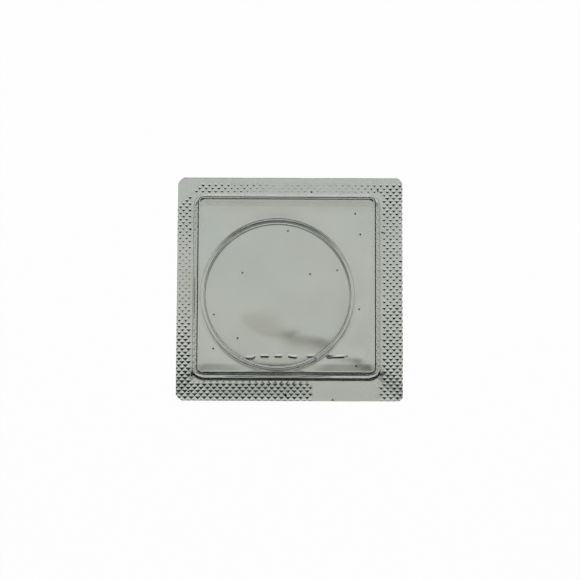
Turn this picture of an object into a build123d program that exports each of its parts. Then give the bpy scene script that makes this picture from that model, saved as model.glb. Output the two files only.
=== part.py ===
from build123d import *
import math
import os

# A watch crystal in its peel pack, in millimetres.
# The pack lies on its foil: +Z is up through the clear roof, the origin is the middle of the
# pack's underside, and +Y points from the near edge, where the pack hinges when it is peeled,
# to the far edge, where the unsealed strip is gripped.

# Crystal
crystal_diameter = 33.9
crystal_height = 3.4
skirt_wall = 1.25
crown_thickness = 1.3
dome_radius = 160.0
table_diameter = 19.4
shoulder_radius = 0.45
skirt_root_radius = 0.4
skirt_lead_in = 0.2

# Where the loose crystal has come to rest in the pocket
rest_gap_left = 0.85
rest_gap_near = 1.1

# Blister tray
sheet_thickness = 0.3
pocket_play = 4.55
head_room = 1.4
draft_angle = 14.0
roof_corner_radius = 1.1
roof_edge_radius = 0.7
foot_fillet_radius = 0.3
flange_left = 3.6
flange_right = 5.05
flange_far = 4.1
flange_near = 4.55
flange_corner_cut = 1.5

# Lidding foil and its knurled seal
foil_thickness = 0.05
knurl_pitch = 1.0
knurl_land = 0.14
knurl_height = 0.16
knurl_offset_x = -0.32
knurl_offset_y = 0.04
lacquer_thickness = 0.03
seal_to_pocket = 0.1

# Where the tool didn't press: the far strip, the grip corner and the thumb patch
far_strip_width = 1.0
grip_corner_reach = 6.6
thumb_patch_length = 14.2
thumb_patch_from_right = 5.7

# Curves of a section are drawn in straight steps that stay this close to them
curve_allowance = 0.05

cut_overrun = 1.0

# Heights of the layers, from the foil's underside up
foil_top = foil_thickness
knurl_top = foil_top + knurl_height
flange_bottom = knurl_top + lacquer_thickness
flange_top = flange_bottom + sheet_thickness
roof_bottom = foil_top + crystal_height + head_room
roof_top = roof_bottom + sheet_thickness

# Plan of the pocket and the pack
wall_lean = math.tan(math.radians(draft_angle))
roof_side = crystal_diameter + pocket_play + 2 * sheet_thickness
foot_side = roof_side + 2 * (roof_top - flange_top) * wall_lean
pack_width = flange_left + foot_side + flange_right
pack_depth = flange_near + foot_side + flange_far
pocket_x = (flange_left - flange_right) / 2
pocket_y = (flange_near - flange_far) / 2

# Crystal's form and place
crystal_radius = crystal_diameter / 2
skirt_inner_radius = crystal_radius - skirt_wall
table_radius = table_diameter / 2
dome_centre = crystal_height - math.sqrt(dome_radius**2 - table_radius**2)


def pocket_side_at(height):
    """Outer side of the square pocket at a height; its walls lean out towards the flange."""
    return roof_side + 2 * (roof_top - height) * wall_lean


def in_steps(arc):
    """Points along an arc of a section: as few straight steps as the allowance lets through."""
    bow = arc.length**2 / (8 * arc.radius)
    steps = math.ceil(math.sqrt(bow / curve_allowance))
    return [arc @ (step / steps) for step in range(steps + 1)]


def dome_height_at(radius, sphere_radius):
    """Height of a sphere round the dome's centre, above the skirt's foot."""
    return dome_centre + math.sqrt(sphere_radius**2 - radius**2)


def crystal_rest_position():
    """Middle of the loose crystal, from the gaps that its shoulder leaves to two walls."""
    shoulder = foil_top + dome_height_at(crystal_radius, dome_radius)
    clear_half = pocket_side_at(shoulder) / 2 - sheet_thickness
    x = pocket_x - clear_half + rest_gap_left + crystal_radius
    y = pocket_y - clear_half + rest_gap_near + crystal_radius
    return x, y


def dome_arc(start_radius, end_radius, sphere_radius):
    """Arc of the dome's section between two radii, on one of its concentric spheres."""
    radii = [start_radius, (start_radius + end_radius) / 2, end_radius]
    return ThreePointArc(*[(r, dome_height_at(r, sphere_radius)) for r in radii])


def crystal_section():
    """Half section of the crystal: flat table, low dome, rounded shoulder and skirt."""
    under_radius = dome_radius - crown_thickness
    outside = dome_arc(table_radius, crystal_radius, dome_radius)
    underside = dome_arc(skirt_inner_radius, 0, under_radius)
    outline = [
        Line((0, crystal_height), (table_radius, crystal_height)),
        outside,
        Polyline(
            outside @ 1,
            (crystal_radius, skirt_lead_in),
            (crystal_radius - skirt_lead_in, 0),
            (skirt_inner_radius, 0),
            underside @ 0,
        ),
        underside,
        Line(underside @ 1, (0, crystal_height)),
    ]
    section = make_face(outline)
    shoulder = section.vertices().sort_by_distance(outside @ 1)[0]
    section = fillet(shoulder, shoulder_radius)
    root = section.vertices().sort_by_distance(underside @ 0)[0]
    section = fillet(root, skirt_root_radius)
    straight = section.edges().filter_by(GeomType.LINE)
    arcs = section.edges().filter_by(GeomType.CIRCLE)
    return make_face(list(straight) + [Polyline(*in_steps(arc)) for arc in arcs])


def watch_crystal():
    """The clear crystal, revolved and laid on the foil where it came to rest."""
    x, y = crystal_rest_position()
    section = Plane.XZ * crystal_section()
    return Pos(x, y, foil_top) * revolve(section, Axis.Z)


def pack_outline():
    """The pack's square outline with its four clipped corners."""
    square = Rectangle(pack_width, pack_depth)
    return chamfer(square.vertices(), flange_corner_cut)


def wall_turns(inset, roof, flange, roof_radius, foot_radius):
    """Turns of the pocket's wall in section, as half width and height, from the roof down."""
    roof_half = pocket_side_at(roof) / 2 - inset
    foot_half = pocket_side_at(flange) / 2 - inset
    corners = [(0, roof), (roof_half, roof), (foot_half, flange), (2 * foot_half, flange)]
    wall = FilletPolyline(*corners, radius=(roof_radius, foot_radius))
    arcs = wall.edges().filter_by(GeomType.CIRCLE)
    return [(point.X, point.Y) for arc in arcs for point in in_steps(arc)]


def pocket_form(turns, bottom):
    """Block of the pocket: one band for each straight step of its section, then down to a bottom.

    The corners of all bands share one middle, so each corner leans out as the walls do.
    """
    last_half, _ = turns[-1]
    rings = turns + [(last_half, bottom)]
    bands = []
    for (high_half, high), (low_half, low) in zip(rings, rings[1:]):
        corner = roof_corner_radius + low_half - roof_side / 2
        ring = RectangleRounded(2 * low_half, 2 * low_half, corner)
        lean = math.degrees(math.atan2(low_half - high_half, high - low))
        bands.append(extrude(Pos(pocket_x, pocket_y, low) * ring, high - low, taper=lean))
    return Part() + bands


def blister_tray():
    """The thermoformed tray: flange, drafted walls and roof from one thickness of sheet."""
    inner_roof_radius = roof_edge_radius - sheet_thickness
    inner_foot_radius = foot_fillet_radius + sheet_thickness
    outer_turns = wall_turns(0, roof_top, flange_top, roof_edge_radius, foot_fillet_radius)
    inner_turns = wall_turns(
        sheet_thickness, roof_bottom, flange_bottom, inner_roof_radius, inner_foot_radius
    )
    flange = extrude(Pos(0, 0, flange_bottom) * pack_outline(), sheet_thickness)
    outside = pocket_form(outer_turns, flange_bottom)
    inside = pocket_form(inner_turns, flange_bottom - cut_overrun)
    return flange + outside - inside


def seal_region():
    """Plan of the welded frame: the flange without the pocket and the three plain places."""
    opening_side = pocket_side_at(flange_bottom) + 2 * seal_to_pocket
    opening = Pos(pocket_x, pocket_y) * Rectangle(opening_side, opening_side)
    far_strip = Pos(0, pack_depth / 2) * Rectangle(pack_width, 2 * far_strip_width)
    left, far = -pack_width / 2, pack_depth / 2
    grip_corner = Polygon(
        (left, far), (left, far - grip_corner_reach), (left + grip_corner_reach, far), align=None
    )
    patch_x = pack_width / 2 - thumb_patch_from_right - thumb_patch_length / 2
    patch = Pos(patch_x, -pack_depth / 2) * Rectangle(thumb_patch_length, 2 * flange_near)
    return pack_outline() - opening - far_strip - grip_corner - patch


def heat_seal_lacquer():
    """The thin weld between the foil's points and the flange."""
    return extrude(Pos(0, 0, knurl_top) * seal_region(), lacquer_thickness)


def knurl_half_diagonal():
    """Half the diagonal of one diamond, whose sides leave a narrow land to the next."""
    return (knurl_pitch - knurl_land) / math.sqrt(2)


def is_sealed(x, y):
    """Whether a whole diamond at this place was pressed: inside the welded frame."""
    reach = knurl_half_diagonal()
    half_width, half_depth = pack_width / 2, pack_depth / 2
    corner_distance = half_width - abs(x) + half_depth - abs(y)
    grip_distance = half_width + x + half_depth - y
    opening = pocket_side_at(flange_bottom) / 2 + seal_to_pocket
    patch_right = half_width - thumb_patch_from_right
    patch_left = patch_right - thumb_patch_length
    in_outline = abs(x) + reach < half_width and y - reach > -half_depth
    below_strip = y + reach < half_depth - far_strip_width
    off_corners = corner_distance > flange_corner_cut + reach
    off_grip = grip_distance > grip_corner_reach + reach
    off_pocket = max(abs(x - pocket_x), abs(y - pocket_y)) > opening + reach
    beside_patch = x + reach < patch_left or x - reach > patch_right
    off_patch = beside_patch or y > -half_depth + flange_near
    return in_outline and below_strip and off_corners and off_grip and off_pocket and off_patch


def knurl_centres():
    """Centres of the pressed diamonds, in rows half a diagonal apart, every other place filled."""
    step = knurl_pitch / math.sqrt(2)
    columns = math.ceil(pack_width / 2 / step)
    rows = math.ceil(pack_depth / 2 / step)
    for row in range(-rows, rows + 1):
        for column in range(-columns, columns + 1):
            x = knurl_offset_x + column * step
            y = knurl_offset_y + row * step
            if (row + column) % 2 == 0 and is_sealed(x, y):
                yield x, y


def polygon_face(points):
    """Flat face through a ring of points."""
    return Face(Wire.make_polygon(points, close=True))


def knurled_side(level):
    """One side of the foil at a level: a flat web with a raised point in each diamond."""
    reach = knurl_half_diagonal()
    holes = []
    slopes = []
    for x, y in knurl_centres():
        ring = [(x + reach, y), (x, y + reach), (x - reach, y), (x, y - reach)]
        base = [Vector(px, py, level) for px, py in ring]
        tip = Vector(x, y, level + knurl_height)
        holes.append(Wire.make_polygon(base, close=True))
        slopes += [polygon_face([base[k - 1], base[k], tip]) for k in range(4)]
    outline = (Pos(0, 0, level) * pack_outline()).face().outer_wire()
    return [Face(outline, holes)] + slopes


def lidding_foil():
    """The foil sheet, of even thickness, with every diamond pushed up from below."""
    rim = extrude(pack_outline(), foil_thickness).faces().filter_by(Axis.Z, reverse=True)
    return Solid(Shell(knurled_side(0) + knurled_side(foil_top) + list(rim)))


def write_parts():
    """Builds each piece and writes it under its own name."""
    pieces = {
        "watch_crystal": watch_crystal(),
        "blister_tray": blister_tray(),
        "lidding_foil": lidding_foil(),
        "heat_seal_lacquer": heat_seal_lacquer(),
    }
    os.makedirs("parts", exist_ok=True)
    for name, piece in pieces.items():
        export_step(piece, f"parts/{name}.step")
    x, y = crystal_rest_position()
    print(f"pack {pack_width:.2f} x {pack_depth:.2f} x {roof_top:.2f} mm")
    print(f"crystal middle at {x:.3f}, {y:.3f} mm; {len(list(knurl_centres()))} points in the seal")


write_parts()
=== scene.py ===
import logging
import math
from dataclasses import dataclass
from enum import Enum
from typing import Any, Iterable

import bmesh
import bpy
import numpy
from bmesh.types import BMEdge, BMesh, BMFace, BMVert
from bpy.types import ID, Material, Node, NodeSocket, NodeTree, Object
from mathutils import Matrix, Vector, noise


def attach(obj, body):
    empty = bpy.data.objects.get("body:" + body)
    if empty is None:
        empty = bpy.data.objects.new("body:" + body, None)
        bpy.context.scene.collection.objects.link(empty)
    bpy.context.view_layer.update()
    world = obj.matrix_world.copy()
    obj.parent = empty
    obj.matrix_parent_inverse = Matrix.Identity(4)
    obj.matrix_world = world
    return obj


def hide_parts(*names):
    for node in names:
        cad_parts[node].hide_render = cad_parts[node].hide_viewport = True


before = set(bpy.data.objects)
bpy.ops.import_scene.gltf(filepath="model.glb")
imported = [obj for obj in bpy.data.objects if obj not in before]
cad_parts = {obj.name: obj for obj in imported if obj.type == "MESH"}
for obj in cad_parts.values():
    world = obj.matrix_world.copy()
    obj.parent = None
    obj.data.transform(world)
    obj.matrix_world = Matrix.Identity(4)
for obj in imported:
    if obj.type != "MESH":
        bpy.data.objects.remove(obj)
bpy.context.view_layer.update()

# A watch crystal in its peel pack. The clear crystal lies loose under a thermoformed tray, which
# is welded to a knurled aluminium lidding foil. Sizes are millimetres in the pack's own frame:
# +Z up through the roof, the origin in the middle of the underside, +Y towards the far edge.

MM = 0.001
# Points and heights closer than this are the same.
TOUCH = 1e-5
LOG = logging.getLogger("watch_crystal_pack")

Colour = tuple[float, float, float, float]
Stops = tuple[tuple[float, float], ...]
Plane = tuple[Vector, Vector]
UP = Vector((0.0, 0.0, 1.0))


def linear(code: str) -> Colour:
    """Turns an sRGB hex colour to linear light.

    Args:
        code: Six hex digits, such as "E8E9E4".

    Returns:
        The linear colour with an alpha of one.
    """
    shares = [int(code[k : k + 2], 16) / 255 for k in (0, 2, 4)]
    light = [s / 12.92 if s <= 0.04045 else ((s + 0.055) / 1.055) ** 2.4 for s in shares]
    return (*light, 1.0)


def grey(value: float) -> Colour:
    """An opaque grey of a linear value."""
    return (value, value, value, 1.0)


def per_mm(size: float) -> float:
    """Pattern scale, in repeats per metre, of a real size in millimetres."""
    return 1.0 / (size * MM)


def drift(x: float, y: float, seed: float) -> float:
    """Smooth noise at a place, within about one of zero; each seed has its own pattern."""
    return noise.noise(Vector((x, y, seed)))


def between(stops: Stops, place: float) -> float:
    """Reads a value between stops, held at both ends.

    Args:
        stops: Places and values, in order of place.
        place: Where to read.

    Returns:
        The value there.
    """
    places, values = zip(*stops)
    return float(numpy.interp(place, places, values))


def add_node(
    tree: NodeTree,
    kind: str,
    links: dict[str | int, NodeSocket] | None = None,
    inputs: dict[str | int, Any] | None = None,
    **settings: Any,
) -> Node:
    """Adds one node with its settings, input values and links.

    Args:
        tree: The node tree to add it to.
        kind: The node's type name, without the words that all of them start with.
        links: Output sockets that feed its input sockets, by name or place.
        inputs: Values of its input sockets, by name or place.
        **settings: Properties of the node.

    Returns:
        The new node.
    """
    node = tree.nodes.new("ShaderNode" + kind)
    for name, value in settings.items():
        setattr(node, name, value)
    for name, value in (inputs or {}).items():
        node.inputs[name].default_value = value
    for name, source in (links or {}).items():
        tree.links.new(source, node.inputs[name])
    return node


def put_in_scene(name: str, data: ID) -> Object:
    """Puts a mesh, a lamp or a camera into the scene.

    Args:
        name: The object's name.
        data: What it shows or is.

    Returns:
        The object.
    """
    made = bpy.data.objects.new(name, data)
    bpy.context.scene.collection.objects.link(made)
    return made


def set_ramp(node: Node, stops: Stops) -> None:
    """Gives a colour ramp its grey stops.

    Args:
        node: The colour ramp node.
        stops: Place and grey value of each stop, in order.
    """
    elements = node.color_ramp.elements
    while len(elements) > 1:
        elements.remove(elements[-1])
    for number, (place, value) in enumerate(stops):
        stop = elements[0] if number == 0 else elements.new(place)
        stop.position = place
        stop.color = grey(value)


def start_material(name: str, values: dict[str, Any]) -> tuple[Material, Node]:
    """Starts a material with the values that hold all over the surface.

    Args:
        name: The material's name.
        values: Values of the shader's own sockets, by name.

    Returns:
        The material and its shader.
    """
    made = bpy.data.materials.new(name)
    made.use_nodes = True
    shader = made.node_tree.nodes["Principled BSDF"]
    for socket, value in values.items():
        shader.inputs[socket].default_value = value
    return made, shader


@dataclass(frozen=True)
class PackPlan:
    """Sizes that the tray, the foil and the weld share.

    Each margin is how far past its line a cell of the foil may have its middle.
    """

    half: float = 24.9994
    corner_cuts: tuple[float, float, float, float] = (1.55, 1.1, 1.35, 1.6)
    corner_steps: int = 6
    corner_profile: float = 0.36
    side_cuts: int = 139
    pocket_x: float = -0.725
    pocket_y: float = 0.225
    crystal_x: float = -2.725
    crystal_y: float = -1.525
    roof_half: float = 19.525
    roof_corner: float = 1.1
    lean: float = math.tan(math.radians(14.0))
    foil_top: float = 0.05
    flange_bottom: float = 0.24
    flange_top: float = 0.54
    roof_top: float = 5.15
    seal_gap: float = 0.1
    knurl_pitch: float = 1.0
    knurl_x: float = -0.32
    knurl_y: float = 0.04
    far_strip: float = 1.0
    grip_reach: float = 6.6
    patch_left: float = 5.1
    patch_right: float = 19.3
    patch_top: float = -20.45
    pocket_margin: float = 0.42
    strip_margin: float = 0.25
    grip_margin: float = 0.5
    patch_margin: float = 0.3
    notch: float = 0.17
    wander: float = 0.05

    def pocket_half(self, height: float) -> float:
        """Outer half width of the leaning pocket wall at a height."""
        return self.roof_half + (self.roof_top - height) * self.lean

    def opening(self) -> float:
        """Half width of the square that the weld leaves open."""
        return self.pocket_half(self.flange_bottom) + self.seal_gap

    def right_edge_notch(self, y: float) -> float:
        """How far the right edge is nicked in, where the cutter ran through the knurl.

        Args:
            y: Place along the edge.

        Returns:
            The depth of the nick.
        """
        row = self.knurl_pitch * math.sqrt(2.0)
        swell = 0.5 + 0.5 * drift(3.7, y * 0.23, 0.0)
        tooth = (0.5 - 0.5 * math.cos(2 * math.pi * (y - self.knurl_y) / row)) ** 2
        return self.notch * tooth * swell

    def edge_wander(self, along: float, side: int) -> float:
        """Slow wander of a cut edge, always inward and unlike on each numbered side."""
        return self.wander + self.wander * drift(along * 0.11, side * 9.1, 5.0)

    def trim(self, point: Vector) -> None:
        """Moves a point past the real, slightly ragged cut in to it.

        Args:
            point: The vertex position, changed in place.
        """
        x, y = point.x, point.y
        right = self.half - self.right_edge_notch(y) - self.edge_wander(y, 0)
        left = -self.half + self.edge_wander(y, 1)
        far = self.half - self.edge_wander(x, 2)
        near = -self.half + self.edge_wander(x, 3)
        point.x = max(left, min(right, x))
        point.y = max(near, min(far, y))


PLAN = PackPlan()


class Zone(Enum):
    """What the sealing tool did to a place of the foil."""

    KNURLED = "knurled"
    PLAIN = "plain"
    POCKET = "pocket"


def zone_of(x: float, y: float) -> Zone:
    """Names the zone that holds a place of the foil.

    Args:
        x: Across the pack.
        y: Up the pack.

    Returns:
        The zone.
    """
    reach = max(abs(x - PLAN.pocket_x), abs(y - PLAN.pocket_y))
    if reach < PLAN.opening() + PLAN.pocket_margin:
        return Zone.POCKET
    in_strip = y > PLAN.half - PLAN.far_strip - PLAN.strip_margin
    in_grip = (PLAN.half + x) + (PLAN.half - y) < PLAN.grip_reach + PLAN.grip_margin
    beside = x <= PLAN.patch_left - PLAN.patch_margin or x >= PLAN.patch_right + PLAN.patch_margin
    in_patch = y < PLAN.patch_top and not beside
    return Zone.PLAIN if in_strip or in_grip or in_patch else Zone.KNURLED


def everything(bm: BMesh) -> list[Any]:
    """All vertices, edges and faces of a mesh."""
    return [*bm.verts, *bm.edges, *bm.faces]


def verts_in(geom: Iterable[Any]) -> list[BMVert]:
    """The vertices among what an operator made."""
    return [g for g in geom if isinstance(g, BMVert)]


def cut_corners(
    bm: BMesh, corners: list[BMVert], reach: float, profile: float = 0.5
) -> list[BMVert]:
    """Rounds corners in the plane of their face.

    Args:
        bm: The mesh.
        corners: The corners.
        reach: How far along the sides each one is cut.
        profile: Form of the cut: 0.5 is round, and less is flatter.

    Returns:
        The new vertices.
    """
    return bmesh.ops.bevel(
        bm,
        geom=corners,
        offset=reach,
        offset_type="OFFSET",
        segments=PLAN.corner_steps,
        profile=profile,
        affect="VERTICES",
        material=-1,
    )["verts"]


def slice_along(bm: BMesh, plane: Plane, clear: bool = True) -> None:
    """Cuts a mesh along a plane, and takes away what lies before it if that is to be cleared."""
    cut = {"plane_co": plane[0], "plane_no": plane[1], "clear_outer": clear}
    bmesh.ops.bisect_plane(bm, geom=everything(bm), **cut)


def square_face(bm: BMesh, half: float, middle: tuple[float, float, float]) -> BMFace:
    """Makes one level square face.

    Args:
        bm: The mesh to add it to.
        half: Half the side.
        middle: Its middle.

    Returns:
        The face.
    """
    place = Matrix.Translation(middle)
    made = bmesh.ops.create_grid(bm, x_segments=1, y_segments=1, size=half, matrix=place)
    return made["verts"][0].link_faces[0]


def divide_sides(bm: BMesh, face: BMFace) -> None:
    """Divides the four long sides of a face finely, alike on every ring of the tray."""
    long_sides = [e for e in face.edges if e.calc_length() > PLAN.roof_half]
    bmesh.ops.subdivide_edges(bm, edges=long_sides, cuts=PLAN.side_cuts)


def clipped_square(bm: BMesh, height: float) -> BMFace:
    """Makes the pack's outline as one face, each corner clipped off in a low curve.

    Args:
        bm: The mesh to add it to, with nothing else at that height.
        height: The height to make it at.

    Returns:
        The face.
    """
    face = square_face(bm, PLAN.half, (0.0, 0.0, height))
    places = ((-1, -1), (1, -1), (1, 1), (-1, 1))
    for (sx, sy), cut in zip(places, PLAN.corner_cuts):
        corner = max(face.verts, key=lambda v: sx * v.co.x + sy * v.co.y)
        cut_corners(bm, [corner], cut, PLAN.corner_profile)
        level = [f for f in bm.faces if abs(f.calc_center_median().z - height) < TOUCH]
        face = max(level, key=lambda f: f.calc_area())
    return face


def outline_planes() -> list[Plane]:
    """Upright planes through the outline's edges.

    Returns:
        A point and an outward direction for each.
    """
    bm = bmesh.new()
    planes = []
    for loop in clipped_square(bm, 0.0).loops:
        start = loop.vert.co.copy()
        along = (loop.link_loop_next.vert.co - start).normalized()
        outward = Vector((along.y, -along.x, 0.0))
        planes.append((start, outward if outward.dot(start) > 0 else -outward))
    bm.free()
    return planes


@dataclass(frozen=True)
class Unevenness:
    """One layer of a surface's unevenness, in millimetres.

    Attributes:
        size: Width of one swell.
        height: Its height.
        detail: How much finer noise lies on it.
    """

    size: float
    height: float
    detail: float


@dataclass(frozen=True)
class ClearPlastic:
    """A clear plastic. Its unevenness shows in its gloss and in what is seen through it."""

    name: str
    colour: str
    ior: float
    roughness: float
    glare: float
    layers: tuple[Unevenness, ...]

    def material(self) -> Material:
        """Builds the material.

        Returns:
            The clear plastic.
        """
        values = {
            "Base Color": linear(self.colour),
            "Roughness": self.roughness,
            "IOR": self.ior,
            "Transmission Weight": 1.0,
            "Specular Tint": grey(self.glare),
        }
        made, shader = start_material(self.name, values)
        tree = made.node_tree
        place = add_node(tree, "TexCoord").outputs["Object"]
        below: dict[str, NodeSocket] = {}
        for layer in self.layers:
            scale = {"Scale": per_mm(layer.size), "Detail": layer.detail}
            swell = add_node(tree, "TexNoise", {"Vector": place}, scale)
            height = {"Strength": 1.0, "Distance": layer.height * MM}
            bump = add_node(tree, "Bump", {"Height": swell.outputs[0], **below}, height)
            below = {"Normal": bump.outputs[0]}
        tree.links.new(below["Normal"], shader.inputs["Normal"])
        return made


@dataclass(frozen=True)
class CalenderedSheet(ClearPlastic):
    """Rigid vinyl sheet, calendered and thermoformed: clear, faintly green and softly wavy."""

    name: str = "calendered_clear_vinyl"
    colour: str = "F9FAF9"
    ior: float = 1.53
    roughness: float = 0.025
    glare: float = 0.1
    # The forming heat leaves slow waves, and the rolls leave a fine orange peel.
    layers: tuple[Unevenness, ...] = (Unevenness(7.0, 0.012, 1.0), Unevenness(0.5, 0.0002, 2.0))


@dataclass(frozen=True)
class PolishedAcrylic(ClearPlastic):
    """Cast acrylic, turned and polished: the clearest piece, with dark refracting edges."""

    name: str = "polished_acrylic"
    colour: str = "FFFFFE"
    ior: float = 1.49
    roughness: float = 0.006
    glare: float = 0.35
    # Polishing by hand leaves the faintest unevenness.
    layers: tuple[Unevenness, ...] = (Unevenness(9.0, 0.01, 0.0),)


@dataclass(frozen=True)
class RolledFoil:
    """Hard rolled aluminium foil, its satin side up: rolling lines, small pits and soft sheen."""

    name: str = "rolled_aluminium_foil"
    colour: str = "EDEEE6"
    dull: str = "E4E5DC"
    speck: str = "2B2A26"
    roughness_low: float = 0.10
    roughness_high: float = 0.18
    line_mm: float = 0.35
    line_length_mm: float = 14.0
    line_height_mm: float = 0.004
    cloud_mm: float = 9.0
    pit_mm: float = 5.2
    pit_reach: float = 0.04
    pit_choice: float = 0.72
    relief: str = "pressed_relief"

    def pits(self, tree: NodeTree, place: NodeSocket) -> NodeSocket:
        """Picks a few dark pits and grains of dust, one here and there.

        Args:
            tree: The foil's node tree.
            place: Object coordinates.

        Returns:
            One inside a pit, and nothing elsewhere.
        """
        scale = {"Scale": per_mm(self.pit_mm)}
        cells = add_node(tree, "TexVoronoi", {"Vector": place}, scale, voronoi_dimensions="2D")
        middle = {0: cells.outputs["Distance"]}
        near = add_node(tree, "Math", middle, {1: self.pit_reach}, operation="LESS_THAN")
        pick = add_node(tree, "SeparateColor", {"Color": cells.outputs["Color"]})
        lot = {0: pick.outputs[0]}
        chosen = add_node(tree, "Math", lot, {1: self.pit_choice}, operation="GREATER_THAN")
        both = {0: near.outputs[0], 1: chosen.outputs[0]}
        return add_node(tree, "Math", both, operation="MULTIPLY").outputs[0]

    def material(self) -> Material:
        """Builds the material.

        Returns:
            The foil's material.
        """
        made, shader = start_material(self.name, {"Metallic": 1.0})
        tree = made.node_tree
        place = add_node(tree, "TexCoord").outputs["Object"]
        scale = {"Scale": per_mm(self.cloud_mm), "Detail": 3.0}
        cloud = add_node(tree, "TexNoise", {"Vector": place}, scale).outputs[0]
        tones = {6: linear(self.colour), 7: linear(self.dull)}
        tone = add_node(tree, "Mix", {0: cloud}, tones, data_type="RGBA")
        spots = {0: self.pits(tree, place), 6: tone.outputs[2]}
        spotted = add_node(tree, "Mix", spots, {7: linear(self.speck)}, data_type="RGBA")
        span = {"To Min": self.roughness_low, "To Max": self.roughness_high}
        sheen = add_node(tree, "MapRange", {"Value": cloud}, span)
        # The work rolls draw fine lines along the web, which runs up the pack.
        stretch = {"Scale": (1.0, self.line_mm / self.line_length_mm, 1.0)}
        stretched = add_node(tree, "Mapping", {"Vector": place}, stretch)
        scale = {"Scale": per_mm(self.line_mm), "Detail": 2.0}
        lines = add_node(tree, "TexNoise", {"Vector": stretched.outputs[0]}, scale)
        # Handling left marks in the soft floor; the sheet stores their heights in metres.
        marks = add_node(tree, "Attribute", attribute_name=self.relief)
        height = {"Strength": 1.0, "Distance": 1.0}
        pressed = add_node(tree, "Bump", {"Height": marks.outputs["Fac"]}, height)
        below = {"Height": lines.outputs[0], "Normal": pressed.outputs[0]}
        height = {"Strength": 1.0, "Distance": self.line_height_mm * MM}
        rolled = add_node(tree, "Bump", below, height)
        tree.links.new(spotted.outputs[2], shader.inputs["Base Color"])
        tree.links.new(sheen.outputs[0], shader.inputs["Roughness"])
        tree.links.new(rolled.outputs[0], shader.inputs["Normal"])
        return made


@dataclass(frozen=True)
class SealLacquer:
    """Clear heat-seal lacquer, melted under the tool: a thin film that softens what is below."""

    name: str = "heat_seal_lacquer"
    colour: str = "C9CAC3"
    ior: float = 1.45
    roughness: float = 0.35
    glare: float = 0.2
    haze: float = 0.025
    blotch_mm: float = 0.8
    blotch_low: float = 0.35
    blotch_high: float = 0.75

    def material(self) -> Material:
        """Builds the material.

        Returns:
            The weld's material.
        """
        values = {
            "Base Color": linear(self.colour),
            "IOR": self.ior,
            "Roughness": self.roughness,
            "Specular Tint": grey(self.glare),
        }
        made, shader = start_material(self.name, values)
        tree = made.node_tree
        # It flowed unevenly, so its haze comes and goes.
        place = add_node(tree, "TexCoord").outputs["Object"]
        scale = {"Scale": per_mm(self.blotch_mm), "Detail": 2.0}
        blotch = add_node(tree, "TexNoise", {"Vector": place}, scale)
        span = {"From Min": self.blotch_low, "From Max": self.blotch_high, "To Max": self.haze}
        haze = add_node(tree, "MapRange", {"Value": blotch.outputs[0]}, span)
        tree.links.new(haze.outputs[0], shader.inputs["Alpha"])
        return made


def finish_piece(
    bm: BMesh,
    name: str,
    finish: ClearPlastic | RolledFoil | SealLacquer,
    node: str,
    body: str,
    sharp_degrees: float = 30.0,
) -> Object:
    """Turns a mesh in millimetres to a dressed piece that rides on its body.

    Args:
        bm: The mesh, in millimetres. It is freed.
        name: The piece's name.
        finish: The finish that makes its material.
        node: The CAD node that the piece stands for.
        body: The body it rides on.
        sharp_degrees: Edges that turn more than this stay sharp.

    Returns:
        The object.
    """
    bmesh.ops.scale(bm, vec=(MM, MM, MM), verts=bm.verts)
    for edge in bm.edges:
        if len(edge.link_faces) == 2 and edge.calc_face_angle(0.0) > math.radians(sharp_degrees):
            edge.smooth = False
    mesh = bpy.data.meshes.new(name)
    bm.to_mesh(mesh)
    bm.free()
    piece = put_in_scene(name, mesh)
    mesh.materials.append(finish.material())
    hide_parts(node)
    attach(piece, body)
    return piece


def close_smooth(bm: BMesh) -> None:
    """Joins doubled points, turns the faces out and shades them smooth.

    Args:
        bm: The mesh, closed up to its doubled points.
    """
    bmesh.ops.remove_doubles(bm, verts=bm.verts, dist=TOUCH)
    bmesh.ops.recalc_face_normals(bm, faces=bm.faces)
    for face in bm.faces:
        face.smooth = True


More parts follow.
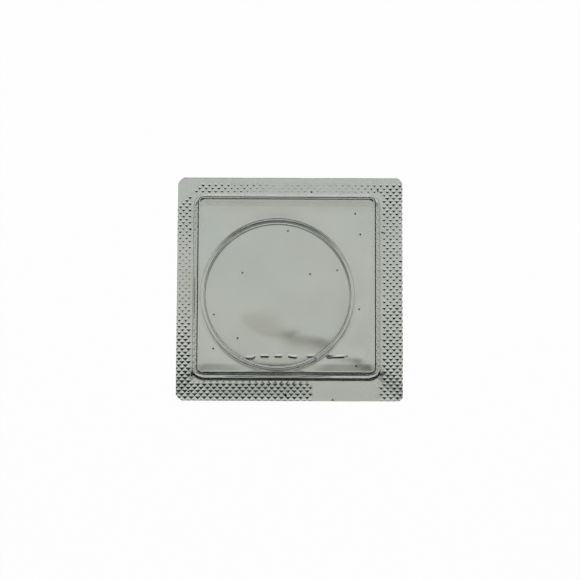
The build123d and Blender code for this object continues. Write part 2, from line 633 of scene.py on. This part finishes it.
@dataclass
class BlisterTray:
    """The thermoformed tray: flange, leaning walls and flat roof from one thickness of sheet."""

    roof_radius: float = 0.6
    inner_roof_radius: float = 0.15
    foot_radius: float = 0.12
    inner_foot_radius: float = 0.2
    inset: float = 0.3
    inner_roof: float = 4.853
    inner_flange: float = 0.245
    round_steps: int = 6

    def section(
        self, roof: float, flange: float, inset: float, roof_radius: float, foot_radius: float
    ) -> Stops:
        """Half width and height of each ring of one side of the sheet, from the roof down.

        Args:
            roof: Height of the roof.
            flange: Height of the flange.
            inset: How far inside the pocket's outer wall it lies.
            roof_radius: Radius of the turn from the roof to the wall.
            foot_radius: Radius of the turn from the wall to the flange.

        Returns:
            The rings of both turns.
        """
        turn = math.pi / 2 - math.atan(PLAN.lean)
        start = PLAN.pocket_half(roof) - inset - roof_radius * math.tan(turn / 2)
        end = PLAN.pocket_half(flange) - inset + foot_radius * math.tan(turn / 2)
        angles = [turn * step / self.round_steps for step in range(self.round_steps + 1)]
        bends = [(math.sin(angle), 1 - math.cos(angle)) for angle in angles]
        upper = [(start + roof_radius * out, roof - roof_radius * down) for out, down in bends]
        lower = [(end - foot_radius * out, flange + foot_radius * down) for out, down in bends]
        return (*upper, *reversed(lower))

    def outline(self, bm: BMesh) -> list[BMEdge]:
        """Makes the flange's outer edge with its clipped corners.

        Args:
            bm: The mesh to add it to.

        Returns:
            The edges of the outline.
        """
        face = clipped_square(bm, PLAN.flange_top)
        divide_sides(bm, face)
        edges = list(face.edges)
        for vert in face.verts:
            PLAN.trim(vert.co)
        bmesh.ops.delete(bm, geom=[face], context="FACES_ONLY")
        return edges

    def roof(self, bm: BMesh, half: float, height: float) -> BMFace:
        """Makes the flat of the roof, with rounded corners.

        Args:
            bm: The mesh to add it to.
            half: Half its side.
            height: Its height.

        Returns:
            The face.
        """
        flat = square_face(bm, half, (PLAN.pocket_x, PLAN.pocket_y, height))
        corner = half - PLAN.roof_half + PLAN.roof_corner
        rounded = cut_corners(bm, list(flat.verts), corner)
        face = max({f for v in rounded for f in v.link_faces}, key=lambda f: f.calc_area())
        divide_sides(bm, face)
        return face

    def move_out(self, vert: BMVert, amount: float, height: float) -> None:
        """Moves a point of the wall straight out, and to a height.

        Args:
            vert: The vertex to move.
            amount: How far out, square to the wall or out of the middle that all corners share.
            height: Its new height.
        """
        middle = PLAN.roof_half - PLAN.roof_corner
        place = (vert.co.x - PLAN.pocket_x, vert.co.y - PLAN.pocket_y)
        outward = [c - max(-middle, min(middle, c)) for c in place]
        vert.co += Vector((*outward, 0)).normalized() * amount
        vert.co.z = height

    def outer_side(self, bm: BMesh, section: Stops, outline: list[BMEdge]) -> list[list[BMVert]]:
        """Draws the sheet's outer side, ring by ring, from the roof to the outline.

        Args:
            bm: The mesh.
            section: The rings, from the roof down.
            outline: The edges of the flange's outline.

        Returns:
            The vertices of each ring.
        """
        last, top = section[0]
        roof = self.roof(bm, last, top)
        rings = [list(roof.verts)]
        edges = list(roof.edges)
        for half, height in section[1:]:
            made = bmesh.ops.extrude_edge_only(bm, edges=edges)["geom"]
            rings.append(verts_in(made))
            for vert in rings[-1]:
                self.move_out(vert, half - last, height)
            drawn = [g for g in made if isinstance(g, BMEdge) and len(g.link_faces) == 1]
            edges = [e for e in drawn if all(abs(v.co.z - height) < TOUCH for v in e.verts)]
            last = half
        bmesh.ops.bridge_loops(bm, edges=edges + outline)
        return rings

    def build(self) -> Object:
        """Builds and dresses the tray.

        Returns:
            The tray.
        """
        bm = bmesh.new()
        turns = (self.roof_radius, self.foot_radius)
        outer = self.section(PLAN.roof_top, PLAN.flange_top, 0.0, *turns)
        turns = (self.inner_roof_radius, self.inner_foot_radius)
        inner = self.section(self.inner_roof, self.inner_flange, self.inset, *turns)
        outline = self.outline(bm)
        rings = self.outer_side(bm, outer, outline)
        # The inner side is a copy of the outer one, with each ring moved in to its own place.
        twins = bmesh.ops.duplicate(bm, geom=everything(bm))["vert_map"]
        for ring, (half, _), (inner_half, height) in zip(rings, outer, inner):
            for vert in ring:
                self.move_out(twins[vert], inner_half - half, height)
        for vert in {v for e in outline for v in e.verts}:
            twins[vert].co.z = self.inner_flange
        for vert in verts_in(bmesh.ops.extrude_edge_only(bm, edges=outline)["geom"]):
            vert.co.z = self.inner_flange
        close_smooth(bm)
        finish = CalenderedSheet()
        return finish_piece(bm, "thermoformed_tray", finish, "blister_tray", "tray")


@dataclass
class WatchCrystal:
    """The crystal: flat table, low dome, rounded shoulder and a skirt that fits the case."""

    radius: float = 16.95
    height: float = 3.4
    skirt: float = 1.0
    crown: float = 1.3
    dome: float = 160.0
    table: float = 9.7
    rim_reach: float = 0.01
    shoulder: float = 0.27
    root: float = 0.1
    lead_in: float = 0.3
    foot_round: float = 0.3
    dome_cuts: int = 10
    underside_cuts: int = 16
    turns: int = 160

    def dome_height(self, radius: float, sphere: float) -> float:
        """Height of one of the dome's concentric spheres at a radius."""
        centre = self.height - math.sqrt(self.dome**2 - self.table**2)
        return centre + math.sqrt(sphere**2 - radius**2)

    def section(self, bm: BMesh) -> None:
        """Draws half of the crystal's section as a line from the table's middle to the underside's.

        Args:
            bm: The mesh to draw it in.
        """
        inner = self.radius - self.skirt
        under = self.dome - self.crown
        corners = (
            (0.0, self.height),
            (self.table, self.height),
            (self.radius, self.dome_height(self.radius, self.dome)),
            (self.radius, self.lead_in),
            (self.radius - self.lead_in, 0.0),
            (inner, 0.0),
            (inner, self.dome_height(inner, under)),
            (0.0, self.dome_height(0.0, under)),
        )
        verts = [bm.verts.new((r, 0.0, z)) for r, z in corners]
        bm.faces.new(verts)
        rim, bottom = verts[1], verts[7]
        for place, reach in ((2, self.shoulder), (5, self.foot_round), (6, self.root)):
            cut_corners(bm, [verts[place]], reach)
        outside = max(rim.link_edges, key=lambda e: e.other_vert(rim).co.x)
        underside = max(bottom.link_edges, key=lambda e: e.other_vert(bottom).co.x)
        bows = ((outside, self.dome, self.dome_cuts), (underside, under, self.underside_cuts))
        for edge, sphere, cuts in bows:
            made = bmesh.ops.subdivide_edges(bm, edges=[edge], cuts=cuts)
            for vert in verts_in(made["geom_inner"]):
                vert.co.z = self.dome_height(vert.co.x, sphere)
        bmesh.ops.delete(bm, geom=list(bm.faces), context="FACES_ONLY")
        axis = [e for e in bm.edges if all(v.co.x < TOUCH for v in e.verts)]
        bmesh.ops.delete(bm, geom=axis, context="EDGES")

    def build(self) -> Object:
        """Spins the crystal's section and dresses it.

        Returns:
            The crystal.
        """
        bm = bmesh.new()
        self.section(bm)
        bmesh.ops.spin(
            bm,
            geom=[*bm.verts, *bm.edges],
            cent=(0, 0, 0),
            axis=UP,
            angle=2 * math.pi,
            steps=self.turns,
            use_merge=True,
        )
        close_smooth(bm)
        high = [v for v in bm.verts if v.co.z > self.height - self.rim_reach]
        rim = {v for v in high if abs(v.co.xy.length - self.table) < self.rim_reach}
        for edge in bm.edges:
            # The table's rim is a crisp line, where the polisher stopped.
            if rim.issuperset(edge.verts):
                edge.smooth = False
        place = (PLAN.crystal_x, PLAN.crystal_y, PLAN.foil_top)
        bmesh.ops.translate(bm, vec=place, verts=bm.verts)
        finish = PolishedAcrylic()
        return finish_piece(bm, "polished_crystal", finish, "watch_crystal", "crystal")


@dataclass(frozen=True)
class Crease:
    """A pressed mark in the soft foil: a low ridge, often steeper on its near side.

    Attributes:
        start: Its first end, in plan.
        end: Its other end.
        rise: Its height.
        far: Its width on the far side.
        near: Its width on the near side.
    """

    start: tuple[float, float]
    end: tuple[float, float]
    rise: float
    far: float = 0.26
    near: float = 0.22

    def distance(self, x: float, y: float) -> tuple[float, float]:
        """Measures a place from the ridge.

        Args:
            x: Across the pack.
            y: Up the pack.

        Returns:
            Its distance, and how far it lies on the far side.
        """
        along = Vector(self.end) - Vector(self.start)
        off = Vector((x, y)) - Vector(self.start)
        off -= along * max(0.0, min(1.0, off.dot(along) / along.length_squared))
        return off.length, off.y

    def height_at(self, x: float, y: float) -> float:
        """Height of the ridge over the flat foil.

        Args:
            x: Across the pack.
            y: Up the pack.

        Returns:
            The height there.
        """
        distance, across = self.distance(x, y)
        if distance > 3 * max(self.far, self.near):
            return 0.0
        side = 0.5 + 0.5 * math.tanh(2.0 * across / (self.far + self.near))
        width = self.near + (self.far - self.near) * side
        return self.rise * math.exp(-((distance / width) ** 2))


@dataclass
class LiddingFoil:
    """The lidding foil: pressed diamonds in the weld, and a soft, marked floor in the pocket."""

    thickness: float = 0.03
    longest_cut: float = 0.3
    # The pressed points: their land, height, tip and how deep the tool bit along each side.
    land: float = 0.12
    rise: float = 0.155
    tip: float = 0.08
    climbs: Stops = ((0.84, 0.76), (0.16, 0.24))
    bite_levels: int = 12
    least_bite: float = 0.1
    patchiness: float = 0.10
    patch_pace: float = 0.13
    point_pace: float = 3.1
    near_frame: float = -20.4
    far_frame: float = 20.9
    near_side: Stops = ((-24.0, 1.0), (0.0, 1.0), (5.0, 0.8), (20.0, 0.75), (24.0, 0.85))
    left_side: Stops = (
        (-20.0, 1.0), (-12.0, 0.85), (-6.0, 0.6), (0.0, 0.4), (9.0, 0.42), (14.0, 0.6), (19.0, 0.7)
    )
    right_side: Stops = (
        (-20.0, 0.85), (-10.0, 0.78), (0.0, 0.66), (10.0, 0.6), (16.0, 0.62), (22.0, 0.78)
    )
    far_side: Stops = (
        (-18.0, 0.62), (-10.0, 0.42), (-3.0, 0.22), (2.0, 0.36),
        (9.0, 0.25), (16.0, 0.42), (22.0, 0.75),
    )
    # The pocket's floor: its waves, and the finer faces where it has small forms.
    wave: float = 0.010
    ripple: float = 0.003
    deepest: float = -0.018
    floor_cuts: int = 2
    detail_bead: float = 19.8
    detail_near: float = -18.1
    detail_mark: float = 0.6
    # The bead inside the weld, which is higher, wider and further in along the near side.
    bead_half: float = 20.3
    bead_corner: float = 2.4
    bead_rise: float = 0.12
    bead_outer: float = 0.5
    bead_inner: float = 0.35
    near_blend: float = 1.6
    near_shift: float = 0.5
    near_rise: float = 0.11
    near_outer: float = 0.3
    # The floor's fall towards the near wall, by the way from the pocket's middle.
    near_fall: Stops = ((15.8, 0.0), (17.0, -0.012), (18.6, -0.08), (18.9, -0.11), (19.45, -0.205))
    fall_blend: float = 4.0
    fall_unevenness: float = 0.35
    # The ring that the crystal's foot left.
    dent: float = 0.045
    dent_radius: float = 16.95
    dent_outer: float = 1.3
    dent_inner: float = 0.8
    # The row of small marks along the near side, and the broad soft ones.
    row: tuple[Crease, ...] = (
        Crease((-9.3, -15.4), (-8.2, -15.4), 0.12),
        Crease((-8.2, -15.4), (-7.8, -15.1), 0.11),
        Crease((-6.1, -15.0), (-4.8, -15.0), 0.11),
        Crease((-3.0, -15.0), (-1.9, -15.0), 0.10),
        Crease((0.0, -15.0), (1.3, -15.2), 0.12),
        Crease((4.1, -15.0), (5.3, -15.05), 0.10),
        Crease((5.3, -15.05), (5.8, -15.3), 0.10),
        Crease((8.5, -15.2), (9.6, -15.1), 0.08),
        Crease((10.1, -15.1), (11.8, -15.0), 0.09),
        Crease((12.6, -14.8), (12.7, -13.7), 0.03, 0.2, 0.2),
    )
    broad: tuple[Crease, ...] = (
        Crease((-18.0, 20.1), (17.0, 20.1), 0.11, 0.8, 2.4),
        Crease((12.4, -14.6), (15.0, -15.2), 0.04, 1.2, 1.1),
        Crease((15.0, -15.2), (16.6, -16.8), 0.03, 1.2, 1.1),
        Crease((0.8, -9.3), (6.8, -10.2), 0.13, 3.2, 2.4),
        Crease((6.8, -10.2), (9.6, -11.9), 0.03, 2.4, 1.6),
        Crease((-9.0, -4.5), (1.0, -4.0), 0.06, 3.0, 3.4),
    )

    def strength(self, x: float, y: float) -> float:
        """How deep the tool bit at a place: deepest along the near edge.

        Args:
            x: Across the pack.
            y: Up the pack.

        Returns:
            A share of the full height.
        """
        if y < self.near_frame:
            share = between(self.near_side, x)
        elif y > self.far_frame:
            share = between(self.far_side, x)
        else:
            share = between(self.left_side if x < 0 else self.right_side, y)
        patch = self.patchiness * drift(x * self.patch_pace, y * self.patch_pace, 2.0)
        each = self.patchiness * drift(x * self.point_pace, y * self.point_pace, 8.0)
        return max(self.least_bite, min(1.0, share + patch + each))

    def bead(self, x: float, y: float) -> float:
        """Height of the bead that the tool squeezed up along the inside of the weld.

        Args:
            x: Across the pack.
            y: Up the pack.

        Returns:
            The height over the flat foil.
        """
        straight = self.bead_half - self.bead_corner
        out_x = abs(x - PLAN.pocket_x) - straight
        out_y = abs(y - PLAN.pocket_y) - straight
        round_part = math.hypot(max(out_x, 0.0), max(out_y, 0.0))
        outside = round_part + min(max(out_x, out_y), 0.0) - self.bead_corner
        near = PLAN.pocket_y - y - abs(x - PLAN.pocket_x)
        near = max(0.0, min(1.0, near / self.near_blend + 0.5))
        outside += self.near_shift * near
        reach = self.bead_outer + self.near_outer * near if outside > 0 else self.bead_inner
        return (self.bead_rise + self.near_rise * near) * max(0.0, 1.0 - abs(outside) / reach)

    def floor_height(self, x: float, y: float) -> float:
        """Height of the pocket's floor over the flat foil.

        Args:
            x: Across the pack.
            y: Up the pack.

        Returns:
            The height, which stays below nothing wherever the crystal can slide.
        """
        if zone_of(x, y) is not Zone.POCKET:
            return 0.0
        swell = self.wave * drift(x * 0.16, y * 0.12, 0.0)
        swell += self.ripple * drift(x * 0.5, y * 0.4, 4.0)
        return max(self.deepest, swell - self.wave) + self.bead(x, y)

    def relief(self, x: float, y: float) -> float:
        """Height of the shallow marks, which the finish shows without moving the sheet.

        The floor falls off towards the near wall, and the crystal's foot dented it in a ring.

        Args:
            x: Across the pack.
            y: Up the pack.

        Returns:
            The height over the sheet.
        """
        ahead = PLAN.pocket_y - y
        near = (ahead - abs(x - PLAN.pocket_x)) / self.fall_blend + 1.0
        uneven = 1.0 + self.fall_unevenness * drift(x * 0.17, 6.0, 1.0)
        fall = max(0.0, min(1.0, near)) * uneven * between(self.near_fall, ahead)
        past = math.hypot(x - PLAN.crystal_x, y - PLAN.crystal_y) - self.dent_radius
        width = self.dent_outer if past > 0 else self.dent_inner
        ring = -self.dent * math.exp(-((past / width) ** 2))
        return fall + ring + sum(mark.height_at(x, y) for mark in self.row + self.broad)

    def needs_detail(self, face: BMFace) -> bool:
        """Whether a face of the floor lies in the bead or a small mark.

        Args:
            face: A face of the foil.

        Returns:
            True where the floor needs smaller faces.
        """
        x, y, z = face.calc_center_median()
        if not face.smooth or abs(z - PLAN.foil_top) > TOUCH:
            return False
        reach = max(abs(x - PLAN.pocket_x), abs(y - PLAN.pocket_y))
        if reach > self.detail_bead or y < self.detail_near:
            return True
        return any(mark.distance(x, y)[0] < self.detail_mark for mark in self.row)

    def sheet(self, bm: BMesh) -> None:
        """Lays out the foil as a grid of diamonds, with the tool's pitch.

        Args:
            bm: The mesh to add it to.
        """
        count = 2 * math.ceil(PLAN.half * math.sqrt(2.0) / PLAN.knurl_pitch) + 3
        place = Matrix.Translation((PLAN.knurl_x, PLAN.knurl_y, PLAN.foil_top))
        place @= Matrix.Rotation(math.pi / 4, 4, "Z")
        size = count * PLAN.knurl_pitch / 2
        bmesh.ops.create_grid(bm, x_segments=count, y_segments=count, size=size, matrix=place)
        reach = PLAN.half + PLAN.knurl_pitch
        middles = {f: f.calc_center_median() for f in bm.faces}
        outside = [f for f, middle in middles.items() if max(map(abs, middle.xy)) > reach]
        bmesh.ops.delete(bm, geom=outside, context="FACES")

    def press(self, bm: BMesh, cells: list[BMFace]) -> None:
        """Presses the cells up to blunt points, smaller ones where the tool bit less.

        Args:
            bm: The foil's mesh.
            cells: The diamonds that the tool bit.
        """
        bites: dict[int, list[BMFace]] = {}
        for cell in cells:
            share = self.strength(*cell.calc_center_median().xy)
            bites.setdefault(math.ceil(share * self.bite_levels), []).append(cell)
        for level, bitten in bites.items():
            share = level / self.bite_levels
            side = (PLAN.knurl_pitch - self.land) * share
            slope = (side - self.tip * share) / 2
            steps = [(0.0, (PLAN.knurl_pitch - side) / 2)]
            steps += [(self.rise * share * climb, slope * width) for climb, width in self.climbs]
            for climb, inset in steps:
                bmesh.ops.inset_individual(bm, faces=bitten, thickness=inset, use_even_offset=True)
                points = [v for f in bitten for v in f.verts]
                bmesh.ops.translate(bm, vec=UP * climb, verts=points)

    def shape_floor(self, bm: BMesh, floor: list[BMEdge]) -> None:
        """Divides the pocket's floor, finer in its small forms, and gives it its heights.

        Args:
            bm: The foil's mesh.
            floor: The edges of the floor's cells.
        """
        bmesh.ops.subdivide_edges(bm, edges=floor, cuts=self.floor_cuts, use_grid_fill=True)
        small = list({e for f in bm.faces if self.needs_detail(f) for e in f.edges})
        bmesh.ops.subdivide_edges(bm, edges=small, cuts=self.floor_cuts, use_grid_fill=True)
        for vert in bm.verts:
            if abs(vert.co.z - PLAN.foil_top) < TOUCH:
                vert.co.z += self.floor_height(vert.co.x, vert.co.y)

    def cut_out(self, bm: BMesh) -> None:
        """Cuts the foil to the pack's outline, a little raggedly.

        Args:
            bm: The foil's mesh.
        """
        for plane in outline_planes():
            slice_along(bm, plane)
        cut = [e for e in bm.edges if e.is_boundary and e.calc_length() > self.longest_cut]
        bmesh.ops.subdivide_edges(bm, edges=cut, cuts=1)
        for vert in bm.verts:
            PLAN.trim(vert.co)

    def build(self) -> Object:
        """Builds and dresses the foil.

        Returns:
            The foil.
        """
        bm = bmesh.new()
        self.sheet(bm)
        zones = {f: zone_of(*f.calc_center_median().xy) for f in bm.faces}
        floor = [f for f, zone in zones.items() if zone is Zone.POCKET]
        floor_edges = list({e for f in floor for e in f.edges})
        for face in floor:
            face.smooth = True
        self.press(bm, [f for f, zone in zones.items() if zone is Zone.KNURLED])
        self.shape_floor(bm, floor_edges)
        self.cut_out(bm)
        bmesh.ops.recalc_face_normals(bm, faces=bm.faces)
        if sum(f.normal.z for f in bm.faces) < 0:
            bmesh.ops.reverse_faces(bm, faces=bm.faces)
        bmesh.ops.solidify(bm, geom=list(bm.faces), thickness=self.thickness)
        finish = RolledFoil()
        stored = bm.verts.layers.float.new(finish.relief)
        for vert in bm.verts:
            vert[stored] = self.relief(vert.co.x, vert.co.y) * MM
        return finish_piece(bm, "knurled_foil", finish, "lidding_foil", "lidding", 60.0)


@dataclass
class HeatSealLacquer:
    """The weld between the foil's points and the flange, without the plain places."""

    bottom: float = 0.212
    thickness: float = 0.026
    margin: float = 0.35
    cells: int = 50

    def leave_out(self, bm: BMesh, sides: tuple[float, float, float, float]) -> None:
        """Takes an oblong out of the film.

        Args:
            bm: The film's mesh.
            sides: Its left, right, near and far side.
        """
        left, right, low, high = sides
        for x in (left, right):
            slice_along(bm, (Vector((x, 0, 0)), Vector((1, 0, 0))), clear=False)
        for y in (low, high):
            slice_along(bm, (Vector((0, y, 0)), Vector((0, 1, 0))), clear=False)
        middles = {f: f.calc_center_median() for f in bm.faces}
        within = [f for f, m in middles.items() if left < m.x < right and low < m.y < high]
        bmesh.ops.delete(bm, geom=within, context="FACES")

    def build(self) -> Object:
        """Builds and dresses the weld.

        Returns:
            The weld.
        """
        bm = bmesh.new()
        place = Matrix.Translation((0, 0, self.bottom + self.thickness))
        cells = self.cells
        bmesh.ops.create_grid(bm, x_segments=cells, y_segments=cells, size=PLAN.half, matrix=place)
        strip = Vector((0, PLAN.half - PLAN.far_strip, 0))
        grip = Vector((-PLAN.half, PLAN.half - PLAN.grip_reach, 0))
        planes = [(strip, Vector((0, 1, 0))), (grip, Vector((-1, 1, 0)).normalized())]
        planes += [(point - outward * self.margin, outward) for point, outward in outline_planes()]
        for plane in planes:
            slice_along(bm, plane)
        inner, x, y = PLAN.opening(), PLAN.pocket_x, PLAN.pocket_y
        self.leave_out(bm, (x - inner, x + inner, y - inner, y + inner))
        self.leave_out(bm, (PLAN.patch_left, PLAN.patch_right, -PLAN.half, PLAN.patch_top))
        bmesh.ops.solidify(bm, geom=list(bm.faces), thickness=self.thickness)
        finish = SealLacquer()
        return finish_piece(bm, "clear_weld", finish, "heat_seal_lacquer", "tray")


@dataclass
class Studio:
    """The pale floor, the soft light round it and the camera over the pack.

    Attributes:
        tilt: How far the camera leans from straight above, in degrees.
        distance: From the camera to its aim, in millimetres.
        lens: Focal length on a 36 mm sensor.
        roll: Turn of the camera about its own view, in degrees.
        aim: What it looks at, in millimetres.
        floor_half: Half the floor's side, in metres, as the rest is.
        card: The floor's colour where it takes the shadow.
        whiteness: How much of it is seen as plain white.
        overhead: The soft box's light, from near to far.
        width: How it falls off to both sides.
        cool: Where it turns to the bluer tint.
        walls: Light of the room's low walls, from near to far.
        horizon: How high up the walls reach.
    """

    tilt: float = 9.0
    distance: float = 540.0
    lens: float = 151.6
    roll: float = 0.25
    aim: tuple[float, float, float] = (0.05, -0.29, 0.3)
    floor_half: float = 3.0
    floor_drop: float = 0.00002
    card: str = "F2F2F2"
    whiteness: float = 0.97
    overhead: Stops = (
        (0.0, 0.03), (0.41, 0.006), (0.45, 0.05), (0.49, 0.19), (0.515, 0.33), (0.535, 0.48),
        (0.552, 0.60), (0.57, 0.655), (0.60, 0.62), (0.62, 0.61), (0.68, 0.70), (0.80, 0.90),
        (0.90, 0.95), (1.0, 0.8),
    )
    width: Stops = ((0.25, 1.0), (0.6, 0.85), (1.0, 0.65))
    cool: Stops = ((0.57, 0.0), (0.61, 1.0))
    tint: Colour = (0.955, 1.0, 1.045, 1.0)
    walls: Stops = (
        (0.0, 0.5), (0.16, 0.42), (0.26, 0.2), (0.34, 0.04),
        (0.45, 0.05), (0.62, 0.16), (0.85, 0.4), (1.0, 0.45),
    )
    horizon: Stops = ((0.0, 1.0), (0.30, 0.95), (0.46, 0.0))
    lamp_place: tuple[float, float, float] = (0.05, 0.45, 0.5)
    lamp_size: tuple[float, float] = (0.5, 0.3)
    lamp_watts: float = 2.2

    def floor(self) -> None:
        """Makes the white floor, which keeps the pack's faint shadow."""
        bm = bmesh.new()
        square_face(bm, self.floor_half, (0.0, 0.0, -self.floor_drop))
        mesh = bpy.data.meshes.new("floor")
        bm.to_mesh(mesh)
        bm.free()
        ground = put_in_scene("floor", mesh)
        made = bpy.data.materials.new("white_card")
        made.use_nodes = True
        tree = made.node_tree
        tree.nodes.remove(tree.nodes["Principled BSDF"])
        card = add_node(tree, "BsdfDiffuse", inputs={"Color": linear(self.card)})
        white = add_node(tree, "Emission", inputs={"Color": grey(1.0), "Strength": 1.0})
        rays = add_node(tree, "LightPath").outputs
        direct = rays["Is Camera Ray"]
        for kind in ("Is Glossy Ray", "Is Transmission Ray"):
            either = {0: direct, 1: rays[kind]}
            direct = add_node(tree, "Math", either, operation="MAXIMUM").outputs[0]
        seen = add_node(tree, "Math", {0: direct}, {1: self.whiteness}, operation="MULTIPLY")
        mixed = {0: seen.outputs[0], 1: card.outputs[0], 2: white.outputs[0]}
        both = add_node(tree, "MixShader", mixed)
        tree.links.new(both.outputs[0], tree.nodes["Material Output"].inputs["Surface"])
        mesh.materials.append(made)

    def sky(self) -> None:
        """Lights the pack from the far side, and leaves the near upper side dark.

        The foil's near slopes mirror that dark side, and its flat places the grey overhead.
        Round the table the room is dark, but for the walls in front and behind.
        """
        world = bpy.data.worlds.new("studio")
        bpy.context.scene.world = world
        world.use_nodes = True
        tree = world.node_tree
        tree.nodes.clear()
        way = add_node(tree, "TexCoord").outputs["Generated"]
        parts = add_node(tree, "SeparateXYZ", {0: way}).outputs
        whole = {"From Min": -1.0, "From Max": 1.0}
        lean = add_node(tree, "MapRange", {"Value": parts["Y"]}, whole).outputs[0]
        aside = add_node(tree, "Math", {0: parts["X"]}, operation="ABSOLUTE").outputs[0]
        ramps = []
        for source, stops in (
            (lean, self.overhead),
            (aside, self.width),
            (lean, self.cool),
            (lean, self.walls),
            (parts["Z"], self.horizon),
        ):
            ramp = add_node(tree, "ValToRGB", {0: source})
            set_ramp(ramp, stops)
            ramps.append(ramp.outputs[0])
        overhead, width, cool, walls, horizon = ramps
        times = {"data_type": "RGBA", "blend_type": "MULTIPLY"}
        box = add_node(tree, "Mix", {6: overhead, 7: width}, {0: 1.0}, **times)
        tinted = add_node(tree, "Mix", {0: cool, 6: box.outputs[2]}, {7: self.tint}, **times)
        layers = {0: horizon, 6: tinted.outputs[2], 7: walls}
        room = add_node(tree, "Mix", layers, data_type="RGBA")
        studio = add_node(tree, "Background", {0: room.outputs[2]})
        white = add_node(tree, "Background", inputs={0: grey(1.0)})
        seen = add_node(tree, "LightPath").outputs["Is Camera Ray"]
        both = add_node(tree, "MixShader", {0: seen, 1: studio.outputs[0], 2: white.outputs[0]})
        add_node(tree, "OutputWorld", {0: both.outputs[0]})

    def lamp(self) -> None:
        """Hangs one broad soft lamp on the far side, for the faint shadow."""
        light = bpy.data.lights.new("soft_box", "AREA")
        light.shape = "RECTANGLE"
        light.size, light.size_y = self.lamp_size
        light.energy = self.lamp_watts
        holder = put_in_scene("soft_box", light)
        holder.location = self.lamp_place
        holder.rotation_euler = (-holder.location).to_track_quat("-Z", "Y").to_euler()
        holder.visible_glossy = False
        holder.visible_transmission = False

    def camera(self) -> None:
        """Places the camera at the photograph's angle."""
        data = bpy.data.cameras.new("camera")
        data.lens = self.lens
        data.sensor_width = 36.0
        data.clip_start, data.clip_end = 0.01, 10.0
        holder = put_in_scene("camera", data)
        lean = math.radians(self.tilt)
        back = Vector((0.0, -math.sin(lean), math.cos(lean)))
        holder.location = (Vector(self.aim) + back * self.distance) * MM
        turn = Matrix.Rotation(lean, 4, "X") @ Matrix.Rotation(math.radians(self.roll), 4, "Z")
        holder.rotation_euler = turn.to_euler()
        bpy.context.scene.camera = holder

    def build(self) -> None:
        """Makes the whole studio."""
        self.camera()
        self.floor()
        self.sky()
        self.lamp()
        bpy.context.scene.view_settings.view_transform = "Standard"
        LOG.info("studio: camera %.0f mm away, %.1f degrees off", self.distance, self.tilt)


def main() -> None:
    """Builds the pack from the foil up, then the studio."""
    logging.basicConfig(level=logging.INFO, format="%(name)s %(message)s")
    for assembly in (LiddingFoil(), HeatSealLacquer(), WatchCrystal(), BlisterTray()):
        piece = assembly.build()
        LOG.info("%s: %d faces", piece.name, len(piece.data.polygons))
    Studio().build()


if __name__ == "__main__":
    main()
